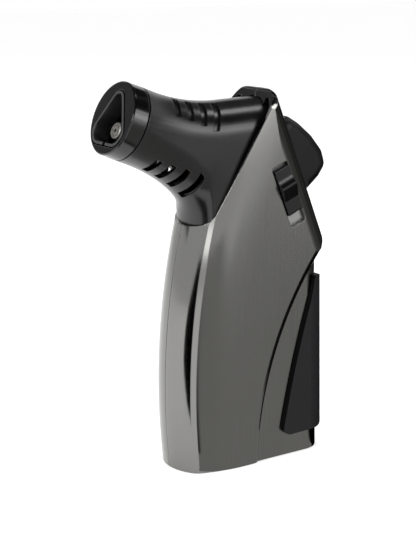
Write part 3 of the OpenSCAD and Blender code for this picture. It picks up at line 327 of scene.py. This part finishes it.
def head_point(s, u, side):
    """A point of the head's skin in the shared frame, in millimetres; side is 1 or -1."""
    s -= SLOT_LEAN * eased(u, 0.6, 1) * eased(s, 8, 16) * (1 - eased(s, 37, 44))
    if s >= INNER_START:
        s = INNER_START + (s - INNER_START) * (INNER_RUN - INNER_LEAN * u) / INNER_RUN
    top, low = head_top(s), head_low(s)
    flare = MOUTH_FLARE * (1 - min((s - HEAD_START) / FLARE_RUN, 1)) ** 2
    wide = HALF_WIDTH + flare - NECK_WAIST * eased(s, 36, 44) * eased(u, 0.5, 0.8)
    arc = min((top - low) / 2, wide * (1 + ROUND_GROWTH * eased(s, 8, INNER_START)))
    turn = min(u, 1 - u, ROUND_SHARE) / ROUND_SHARE * math.pi / 2
    x = wide * math.sin(turn)
    if u < ROUND_SHARE:
        v = top - arc + arc * math.cos(turn)
    elif u > 1 - ROUND_SHARE:
        v = low + arc - arc * math.cos(turn)
    else:
        v = top - arc + (low + 2 * arc - top) * (u - ROUND_SHARE) / (1 - 2 * ROUND_SHARE)
    return Vector((side * x, NOZZLE_Y + s * math.cos(PITCH) + v * math.sin(PITCH),
                   NOZZLE_Z - s * math.sin(PITCH) + v * math.cos(PITCH)))


def head_outward(s, u, side):
    """The direction in which the head's skin faces."""
    down = head_point(s, min(u + REACH_U, 1), side) - head_point(s, max(u - REACH_U, 0), side)
    out = down.cross(head_point(s + REACH_S, u, side) - head_point(s, u, side)) * side
    if u in (0, 1):
        out.x = 0
    return out.normalized()


def line_at(line, depth):
    """Where a line across the head lies at a depth, drawn in at the floors of the blind slots."""
    for middle, _, _, floor in SLOTS:
        if floor == depth == GROOVE and abs(line - middle) < SLOT_HALF + 0.01:
            return middle + FLOOR_SHARE * (line - middle)
    return line


def head_faces(along, ring):
    """The faces of skin, slot floors, slot walls and inside, as numbers of the points of smooth_head."""
    rows, count = len(along), len(ring)
    first = {SKIN: 0, GROOVE: rows * count, WALL: 2 * rows * count}

    def cut(i, j):
        """How deep the cell between two lines across and two places round the head lies."""
        if not 0 <= i < rows - 1:
            return WALL
        s = (along[i] + along[i + 1]) / 2
        u = (ring[j % count][0] + ring[(j + 1) % count][0]) / 2
        inside = (d for middle, a, b, d in SLOTS if abs(s - middle) < SLOT_HALF and a < u < b)
        return next(inside, SKIN)

    faces = []
    for i in range(rows):
        for j in range(count):
            a, b = i * count + j, i * count + (j + 1) % count
            c, d = b + count, a + count
            here, behind, beside = cut(i, j), cut(i - 1, j), cut(i, j - 1)
            if i < rows - 1 and here != WALL:
                faces.append([first[here] + k for k in (a, d, c, b)])
                faces.append([first[WALL] + k for k in (a, b, c, d)])
            if here != behind:
                faces.append([first[here] + a, first[here] + b, first[behind] + b, first[behind] + a])
            if i < rows - 1 and here != beside:
                faces.append([first[here] + d, first[here] + a, first[beside] + a, first[beside] + d])
    return faces


def smooth_head():
    """The head as one smooth skin with blind upper slots and open lower ones, in place of the CAD solid."""
    even = {round(HEAD_START + LINE_STEP * k, 3) for k in range(LINES)}
    along = sorted(even | {round(slot[0] + d, 3) for slot in SLOTS for d in (-SLOT_HALF, SLOT_HALF)})
    steps = {round(k / ROUND_STEPS, 4) for k in range(ROUND_STEPS + 1)}
    half = sorted(steps | {end for slot in SLOTS for end in slot[1:3]})
    ring = [(u, 1) for u in half] + [(u, -1) for u in half[-2:0:-1]]
    points = []
    for depth in (SKIN, GROOVE, WALL):
        for line in along:
            s = line_at(line, depth)
            points += [(head_point(s, *spot) - head_outward(s, *spot) * depth) * MM for spot in ring]
    mesh = bpy.data.meshes.new("head_skin")
    mesh.from_pydata(points, [], head_faces(along, ring))
    mesh.validate()
    for face in mesh.polygons:
        face.use_smooth = True
    mesh.set_sharp_from_angle(angle=SHARP)
    mesh.materials.append(HEAD_BLACK)
    skin = bpy.data.objects.new("head_skin", mesh)
    bpy.context.collection.objects.link(skin)
    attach(skin, "housing")
    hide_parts("head_barrel")


# Studio, in millimetres: the floor, and the heights of a card on the floor and of a card laid on another
FLOOR_SIZE, FLOOR_DROP = 8000, 0.2
ON_FLOOR, ON_CARD = 0.05, 0.1


def studio_floor():
    """A wide matt floor that reads white where no shadow falls on it."""
    made, tree, shader = material("floor_matt_white", "#f2f2f2", Roughness=0.9)
    path = add(tree, "LightPath")
    seen = add(tree, "Math", LARGER, i0=path.outputs["Is Camera Ray"], i1=path.outputs["Is Glossy Ray"])
    glow = add(tree, "Math", {"operation": "MULTIPLY"}, i0=seen.outputs["Value"], i1=0.45)
    shader.inputs["Emission Color"].default_value = linear("#ffffff")
    tree.links.new(glow.outputs["Value"], shader.inputs["Emission Strength"])
    bpy.ops.mesh.primitive_plane_add(size=FLOOR_SIZE * MM, location=(0, 0, -FLOOR_DROP * MM))
    floor = bpy.context.object
    floor.name = "studio_floor"
    floor.data.materials.append(made)


def studio_world():
    """White behind the object for the eye and for reflections, softer for the fill light."""
    world = bpy.data.worlds.new("studio")
    bpy.context.scene.world = world
    world.use_nodes = True
    tree = world.node_tree
    tree.nodes.clear()
    path = add(tree, "LightPath")
    seen = add(tree, "Math", LARGER, i0=path.outputs["Is Camera Ray"], i1=path.outputs["Is Glossy Ray"])
    seen = add(tree, "Math", LARGER, i0=seen.outputs["Value"], i1=path.outputs["Is Transmission Ray"])
    level = add(tree, "MapRange", Value=seen.outputs["Value"], To_Min=0.55, To_Max=1.0)
    sky = add(tree, "Background", Color=linear("#ffffff"), Strength=level.outputs["Result"])
    add(tree, "OutputWorld", Surface=sky.outputs["Background"])


def soft_box(name, place, size, power):
    """A rectangular soft box in millimetres and watts that faces the middle of the object."""
    lamp = bpy.data.lights.new(name, "AREA")
    lamp.shape = "RECTANGLE"
    lamp.size = size[0] * MM
    lamp.size_y = size[1] * MM
    lamp.energy = power
    holder = bpy.data.objects.new(name, lamp)
    holder.location = Vector(place) * MM
    holder.rotation_euler = (AIM * MM - holder.location).to_track_quat("-Z", "Y").to_euler()
    bpy.context.collection.objects.link(holder)


def flag(name, corners, colour, level=1.0):
    """A card outside the picture, given by its corners in millimetres, that only reflections see."""
    made, tree, shader = material(name + "_paper", "#000000", Roughness=1.0, Specular_IOR_Level=0.0)
    shader.inputs["Emission Color"].default_value = linear(colour)
    shader.inputs["Emission Strength"].default_value = level
    mesh = bpy.data.meshes.new(name)
    mesh.from_pydata([Vector(c) * MM for c in corners], [], [list(range(len(corners)))])
    mesh.materials.append(made)
    card = bpy.data.objects.new(name, mesh)
    bpy.context.collection.objects.link(card)
    card.visible_camera = False
    card.visible_diffuse = False
    card.visible_shadow = False


def lying(height, *corners):
    """The corners of a level card at a height."""
    return [(x, y, height) for x, y in corners]


def standing(start, end, low, high):
    """The corners of an upright card over the line from start to end."""
    return [(*start, low), (*start, high), (*end, high), (*end, low)]


def photo_camera():
    """The camera at the photograph's angle and focal length."""
    view = bpy.data.cameras.new("photo_camera")
    view.sensor_width = SENSOR
    view.lens = FOCAL_PIXELS / IMAGE_HEIGHT * SENSOR
    holder = bpy.data.objects.new("photo_camera", view)
    turn, rise = math.radians(CAMERA_AZIMUTH), math.radians(CAMERA_RISE)
    out = Vector((math.sin(turn) * math.cos(rise), -math.cos(turn) * math.cos(rise), math.sin(rise)))
    holder.location = (AIM + out * CAMERA_DISTANCE) * MM
    holder.rotation_euler = (-out).to_track_quat("-Z", "Y").to_euler()
    bpy.context.collection.objects.link(holder)
    bpy.context.scene.camera = holder


smooth_head()
photo_camera()
studio_floor()
studio_world()
soft_box("key_box", (150, -800, 750), (500, 350), 5)
soft_box("side_box", (760, 320, 260), (500, 260), 0.6)
soft_box("low_box", (760, -545, 130), (160, 80), 0.12)
soft_box("top_box", (-100, 150, 950), (700, 700), 4)
# Grey paper on the floor, which the side panel sees
flag("panel_flag", lying(ON_FLOOR, (14, -28), (200, -50), (1000, -180), (1000, 60), (470, 110), (470, 260),
                         (330, 350), (80, 95), (14, 28)), "#bcbcb9")
# A slightly paler sheet further out, which the top of the panel and the head's flank see
flag("gleam_sheet", lying(ON_FLOOR, (470, 120), (760, 200), (640, 560), (350, 390), (470, 262)), "#c0c0be")
# A lit sheet over it, lower at its far end, which draws the broad gleam along the head's flank
flag("side_sheet", [(860, 330, 250), (560, 760, 200), (560, 760, 560), (860, 330, 560)], "#ffffff", 3.2)
# Black paper behind, which the step and the rear edges of the lower body see
flag("rear_flag", lying(ON_FLOOR, (14, 28), (80, 95), (325, 345), (-110, 345), (-110, 30), (13, 15)), "#0a0a0a")
# Papers further behind that go from grey to black, which grade the rolled rear edge of the upper panel
NEAR = [(203, 221), (150, 260), (53, 295), (-80, 300), (-250, 300)]
FAR = [(325, 345), (199, 345), (61, 345), (-92, 345), (-290, 345)]
for k, tone in enumerate(["#929290", "#686866", "#444443", "#222222"]):
    flag(f"roll_flag_{k}", lying(ON_CARD, NEAR[k], FAR[k], FAR[k + 1], NEAR[k + 1]), tone)
    flag(f"roll_wall_{k}", standing(FAR[k], FAR[k + 1], 0, 260), tone)
# Black paper before the front, lying and standing, which draws the dark crescent next to the bevel
flag("front_flag", lying(ON_FLOOR, (27, -70), (20, -150), (12, -244), (16, -423), (67, -927), (500, -780),
                         (85, -130), (36, -66)), "#050505")
flag("front_wall", [(67, -927, 0), (230, -880, 150), (500, -780, 150), (500, -780, 0)], "#050505")
# A narrow black strip for the dark line behind the bevel
flag("edge_flag", lying(ON_CARD, (30, -31), (500, -125), (500, -70), (30, -27)), "#080808")
# A dark ceiling, and a grey card to the left of the nozzle, keep the black plastic deep
flag("ceiling", lying(620, (-700, -700), (700, -700), (700, 700), (-700, 700)), "#161616")
flag("nozzle_flag", [(-250, -520, 150), (-560, -140, 150), (-560, -140, 420), (-250, -520, 420)], "#848484")
# A lit strip under the ceiling, which gleams on the head before the hood and on the edges of the slots
flag("top_strip", lying(610, (10, 230), (150, 230), (150, 420), (10, 420)), "#ffffff", 5.0)
bpy.context.scene.view_settings.view_transform = "Standard"
